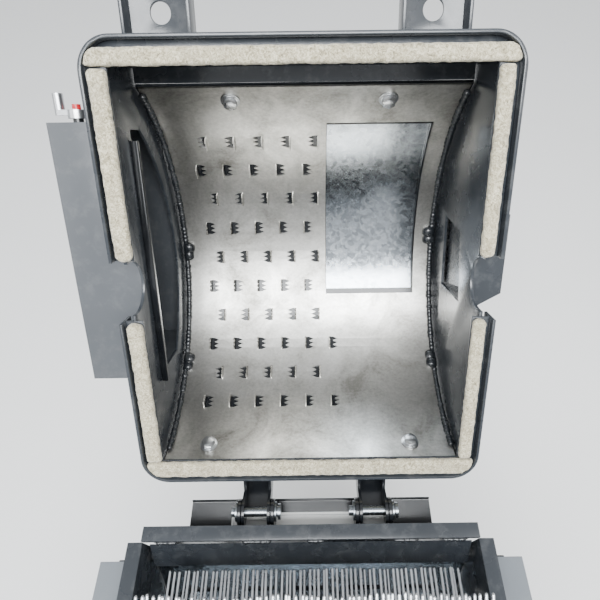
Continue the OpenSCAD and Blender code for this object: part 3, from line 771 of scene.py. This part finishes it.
def felt_strip(name, low, high, round_end=None):
    piece = flat_box(name, (low[0], low[1], FELT_LOW), (high[0], high[1], FELT_HIGH))
    bevel(piece, 3.9, 4)
    edit(piece)
    spans = [(0, low[0], high[0]), (1, low[1], high[1]), (2, FELT_LOW, FELT_HIGH)]
    for axis, start, end in spans:
        count = max(2, int((end - start) / (2.4 * MM)))
        for k in range(1, count):
            place = [0, 0, 0]
            normal = [0, 0, 0]
            place[axis] = start + (end - start) * k / count
            normal[axis] = 1
            bpy.ops.mesh.select_all(action="SELECT")
            bpy.ops.mesh.bisect(plane_co=place, plane_no=normal)
    leave_edit()
    if round_end:
        centre_x = (low[0] + high[0]) / 2
        half = (high[0] - low[0]) / 2
        end_y, side = round_end
        for vertex in piece.data.vertices:
            from_end = (vertex.co.y - end_y) * side
            share = min(1, max(0, 1 - from_end / half))
            pull = 1 - math.sqrt(max(0, 1 - (abs(vertex.co.x - centre_x) / half) ** 2 * 0.75))
            vertex.co.y += side * pull * half * share
    corner_cut(piece, CORNER_R, FELT_OUT_X, FELT_OUT_Y)
    modifier = piece.modifiers.new("fuzz", "DISPLACE")
    modifier.texture = cloud
    modifier.strength = 1.8 * MM
    modifier.mid_level = 0.68
    apply_modifiers(piece)
    make_active(piece)
    bpy.ops.object.shade_smooth()
    settle(piece, ON_HOOD)
    finish_piece(piece, FELT, "hood")
    return piece


def set_in(edge_out, edge_in, side):
    """The two edges of a strip, measured in from the outside of the rim band."""
    return lambda high: sorted((side * (high - edge_out * MM), side * (high - edge_in * MM)))


for side, end, edge_out in ((1, "rear", 4.4), (-1, "front", 8.4)):
    edges = set_in(edge_out, 23, side)(RIM_HIGH.y)
    felt_strip("felt_" + end, (-FELT_OUT_X, edges[0]), (FELT_OUT_X, edges[1]))
for side, name, edge_out, edge_in in ((-1, "left", 5, 21.5), (1, "right", 7.2, 21)):
    across = set_in(edge_out, edge_in, side)(RIM_HIGH.x)
    for y_side, end in ((1, "rear"), (-1, "front")):
        along = sorted((y_side * NOTCH_END, y_side * (FELT_OUT_Y - FELT_W - 0.3 * MM)))
        low, high = (across[0], along[0]), (across[1], along[1])
        felt_strip(f"felt_{name}_{end}", low, high, (y_side * NOTCH_END, y_side))
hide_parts("felt_seal")

# %% [markdown]
# A weld bead is a row of overlapping puddles. A grid is wrapped into a thin tube whose radius swells every
# 4 mm, with a little chance in each puddle, and the tube follows a line.

# %% Weld beads
chance = random.Random(7)
RING_SPACING = 1.0 * MM
BEAD_SIDES = 10
BEAD_TAPER = 2.5 * MM


def bead(name, line, radius_mm=2.4, ripple_mm=4.0, sideways=(1, 0, 0)):
    """A rippled bead along a line of points, closed at both ends. sideways is square to the line."""
    points = [Vector(p) for p in line]
    rings = []
    travelled = 0.0
    for start, end in zip(points, points[1:]):
        length = (end - start).length
        steps = max(1, int(length / RING_SPACING))
        for k in range(steps):
            rings.append((start.lerp(end, k / steps), (end - start).normalized(), travelled + length * k / steps))
        travelled += length
    rings.append((points[-1], (points[-1] - points[-2]).normalized(), travelled))
    deselect()
    bpy.ops.mesh.primitive_grid_add(x_subdivisions=len(rings) - 1, y_subdivisions=BEAD_SIDES, size=1)
    piece = bpy.context.object
    piece.name = name
    spots = [vertex.co for vertex in piece.data.vertices]
    order = sorted(range(len(spots)), key=lambda i: (round(spots[i].x, 6), spots[i].y))
    puddles = [1 + chance.uniform(-0.16, 0.2) for _ in range(int(travelled / (ripple_mm * MM)) + 2)]
    for index, vertex_index in enumerate(order):
        centre, direction, at = rings[index // (BEAD_SIDES + 1)]
        turn = (index % (BEAD_SIDES + 1)) / BEAD_SIDES * 2 * math.pi
        side = Vector(sideways)
        up = direction.cross(side).normalized()
        phase = at / (ripple_mm * MM)
        swell = puddles[int(phase)] * (0.84 + 0.22 * abs(math.sin(math.pi * phase)))
        end_share = min(1.0, at / BEAD_TAPER, (travelled - at) / BEAD_TAPER)
        size = radius_mm * MM * swell * math.sqrt(max(0.02, end_share))
        offset = side * math.cos(turn) * size + up * math.sin(turn) * size * 0.9
        piece.data.vertices[vertex_index].co = centre + offset
    edit(piece)
    bpy.ops.mesh.select_all(action="SELECT")
    bpy.ops.mesh.remove_doubles(threshold=0.00001)
    bpy.ops.mesh.select_all(action="DESELECT")
    bpy.ops.mesh.select_non_manifold()
    bpy.ops.mesh.fill_holes(sides=0)
    bpy.ops.mesh.select_all(action="SELECT")
    bpy.ops.mesh.normals_make_consistent(inside=False)
    leave_edit()
    make_active(piece)
    bpy.ops.object.shade_smooth()
    return piece


def arc_line(x, radius, start, end, degrees=2.0):
    count = int(math.degrees(end - start) / degrees)
    angles = [start + (end - start) * k / count for k in range(count + 1)]
    return [(x, -radius * math.sin(a), radius * math.cos(a)) for a in angles]


bead_radius = LINER_R - 2.2 * MM
TAB_HALF = 10.5 * MM
TAB_HIGH = 4.4 * MM
arc_beads = []
for side in (-1, 1):
    x = side * (LINER_HIGH.x - 1.4 * MM)
    arc_beads.append(bead("arc_bead", arc_line(x, bead_radius, ARC_REAR + 0.06, ARC_FRONT - 0.03), 3.5, 5.0))
    for tack in (-43.2, -1.5 if side < 0 else 3.5):
        middle = math.radians(tack)
        edges = sorted((side * (LINER_HIGH.x - 10.5 * MM), side * (LINER_HIGH.x + 2.4 * MM)))
        tab = flat_box("tab", (edges[0], -TAB_HALF, 0), (edges[1], TAB_HALF, TAB_HIGH))
        bevel(tab, 2.1, 4)
        tab.data.transform(Matrix.Translation((0, middle * LINER_R, 0)))
        roll_to_arc(tab, LINER_R)
        make_active(tab)
        bpy.ops.object.shade_smooth()
        arc_beads.append(tab)
        for shift in (-0.024, 0.026):
            x_tack = side * (LINER_HIGH.x - (4.8 + 20 * shift) * MM)
            line = arc_line(x_tack, LINER_R - 2.6 * MM, middle + shift - 0.036, middle + shift + 0.036, 0.5)
            arc_beads.append(bead("tack", line, 6.8, 14.0))
step_low = shut_box("hood_front_wall")[0]
seam_y = step_low.y + 4.6 * MM
for start, length in ((-150, 26), (-58, 30), (22, 24), (118, 30)):
    line = [(k * MM, seam_y, step_low.z + 3 * MM) for k in range(start, start + length + 1, 2)]
    arc_beads.append(bead("flange_seam", line, 2.2, 5.0, (0, 1, 0)))
hood_beads = join(*arc_beads)
hood_beads.name = "hood_weld_beads"
settle(hood_beads, ON_HOOD)
finish_piece(hood_beads, WELD, "hood", ["hood_welds"])

# %% [markdown]
# The back rail is stitched to its deflector with short runs of weld, seen on the drum side.

# %% Stitches under the back rail
rail_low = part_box("back_rail")[0]
stitches = []
for start, length in ((-158, 22), (-70, 30), (-4, 18), (84, 26), (134, 24)):
    across = range(start, start + length + 1, 2)
    line = [(k * MM, rail_low.y - 0.6 * MM, rail_low.z + 6 * MM) for k in across]
    stitches.append(bead("stitch", line, 2.4, 6.0, (0, 1, 0)))
rail_beads = join(*stitches)
rail_beads.name = "rail_weld_beads"
finish_piece(rail_beads, WELD, "stand")

# %% [markdown]
# The liner bolts are M8 flange-head bolts: a hexagon on a round flange with a chamfered top, over a washer.

# %% Liner bolts
def prism(name, sides, radius_mm, height_mm, low_mm, chamfer_mm=0.0):
    deselect()
    bpy.ops.mesh.primitive_cylinder_add(
        vertices=sides, radius=radius_mm * MM, depth=height_mm * MM, location=(0, 0, (low_mm + height_mm / 2) * MM)
    )
    piece = bpy.context.object
    piece.name = name
    bpy.ops.object.transform_apply(location=True, rotation=True, scale=True)
    if chamfer_mm:
        bevel(piece, chamfer_mm, 2, 50)
    return piece


def liner_bolt():
    inside = LINER_R / MM
    outside = shut_box("hood_shell")[1].z / MM
    parts = [
        prism("washer", 40, 10.0, 1.5, inside - 1.7, 0.2),
        prism("flange", 40, 8.8, 1.2, inside - 2.9, 0.3),
        prism("head", 6, 7.6, 5.0, inside - 7.6, 0.7),
        prism("crown", 28, 6.0, 0.5, inside - 8.0, 0.2),
        prism("shank", 20, 3.9, outside - inside + 12, inside - 3, 0.3),
        prism("nut", 6, 7.2, 6.4, outside + 1.8, 0.6),
        prism("back_washer", 40, 8.0, 1.5, outside + 0.2, 0.2),
    ]
    return join(*parts)


spots = [
    Matrix.Translation((x * MM, 0, 0)) @ Matrix.Rotation(math.radians(angle), 4, "X") @ Matrix.Rotation(turn, 4, "Z")
    for (x, angle), turn in zip(BOLTS, (0.2, 0.9, 0.5, 1.3))
]
bolts = copies(liner_bolt(), spots, "liner_flange_bolts")
settle(bolts, ON_HOOD)
smooth(bolts, 30)
finish_piece(bolts, PLATED, "hood", ["liner_bolts"])

# %% [markdown]
# The drum carries straight spring-steel rods, 3 mm thick, pushed through clamping bars in rows. One rod is
# modelled and copied hundreds of times, so it has few faces: eight sides and a rounded tip. Each rod leans
# half a degree or so its own way, as worn rods do, and each row waves a little. The pitch of
# 4.6 mm leaves a gap of about half a rod between neighbours.

# %% Brush rods
DRUM_ROWS = 12
ROD_R = 1.45
ROD_PITCH = 4.6 * MM
BARS_LOW, BARS_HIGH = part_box("brush_bars")
TUBE_R = 70
TIP_R = (BARS_HIGH.z - AXIS.z) / MM
ROOT_IN = 3.5
ROW_WAVE = math.radians(0.8)
ROD_LEAN = 0.6
ROD_TILT = 0.4

deselect()
bpy.ops.mesh.primitive_cylinder_add(vertices=8, radius=ROD_R * MM, depth=(TIP_R - TUBE_R - ROOT_IN) * MM)
rod = bpy.context.object
rod.name = "rod"
rod.location.z = (TIP_R + TUBE_R - ROOT_IN) / 2 * MM
bpy.ops.object.transform_apply(location=True, rotation=True, scale=True)
edit(rod)
bpy.ops.mesh.select_all(action="DESELECT")
leave_edit()
top = max(vertex.co.z for vertex in rod.data.vertices)
for vertex in rod.data.vertices:
    vertex.select = vertex.co.z > top - 1e-5
for face in rod.data.polygons:
    face.select = all(rod.data.vertices[i].select for i in face.vertices)
bpy.ops.object.mode_set(mode="EDIT")
for height, shrink in ((0.9, 0.8), (0.5, 0.55)):
    bpy.ops.mesh.extrude_region_move(TRANSFORM_OT_translate={"value": (0, 0, height * MM)})
    bpy.ops.transform.resize(value=(shrink, shrink, 1))
leave_edit()

rod_spots = []
rods_in_row = int((BARS_HIGH.x - BARS_LOW.x) / ROD_PITCH)
for row in range(DRUM_ROWS):
    row_turn = 2 * math.pi * row / DRUM_ROWS
    for k in range(rods_in_row):
        x = BARS_LOW.x + ROD_PITCH * (k + 0.5)
        wave = ROW_WAVE * math.sin(2 * math.pi * (k / rods_in_row) * 3 + row)
        lean = math.radians(chance.uniform(-ROD_LEAN, ROD_LEAN))
        tilt = math.radians(chance.uniform(-ROD_TILT, ROD_TILT))
        rod_spots.append(
            Matrix.Translation((x, 0, 0))
            @ Matrix.Rotation(row_turn + wave + lean, 4, "X")
            @ Matrix.Translation((0, 0, chance.uniform(-1.2, 0) * MM))
            @ Matrix.Rotation(tilt, 4, "Y")
        )
rods = copies(rod, rod_spots, "brush_rods")
settle(rods, ON_AXIS)
smooth(rods, 60)
finish_piece(rods, ROD_STEEL, "drum", ["brush_bars"])
print("rods:", len(rod_spots), "faces:", len(rods.data.polygons))

# %% [markdown]
# The rods are gripped by clamping bars on the drum tube, one bar to a row.

# %% Clamping bars
bar_low = Vector((BARS_LOW.x, -9 * MM, (TUBE_R - 1) * MM))
bar_high = Vector((BARS_HIGH.x, 9 * MM, (TUBE_R + 13) * MM))
clamp = flat_box("clamp", bar_low, bar_high)
bevel(clamp, 1.5, 3)
row_turns = [Matrix.Rotation(2 * math.pi * row / DRUM_ROWS, 4, "X") for row in range(DRUM_ROWS)]
clamps = copies(clamp, row_turns, "clamp_bars")
settle(clamps, ON_AXIS)
smooth(clamps, 30)
# The bars wear the darkened slate, painted shade inside the drum's housing.
finish_piece(clamps, SLATE_DARK, "drum")

# %% [markdown]
# A plain plate lies on the rear shelf. It has a thin border and no lettering.

# %% Label plate
plate_low, plate_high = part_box("label_plate")
plate_high.y -= 9 * MM
plate = flat_box("plain_label", plate_low, plate_high)
bevel(plate, 0.25, 2)
finish_piece(plate, LABEL_WHITE, "stand", ["label_plate"])

INSET = 2.5 * MM
LINE = 0.6 * MM
inner_low = Vector((plate_low.x + INSET, plate_low.y + INSET, plate_high.z - 0.1 * MM))
inner_high = Vector((plate_high.x - INSET, plate_high.y - INSET, plate_high.z + 0.03 * MM))
border = []
for low, high in (
    (inner_low, (inner_high.x, inner_low.y + LINE, inner_high.z)),
    ((inner_low.x, inner_high.y - LINE, inner_low.z), inner_high),
    (inner_low, (inner_low.x + LINE, inner_high.y, inner_high.z)),
    ((inner_high.x - LINE, inner_low.y, inner_low.z), inner_high),
):
    border.append(flat_box("line", low, high))
label_border = join(*border)
label_border.name = "label_border"
finish_piece(label_border, LABEL_INK, "stand")
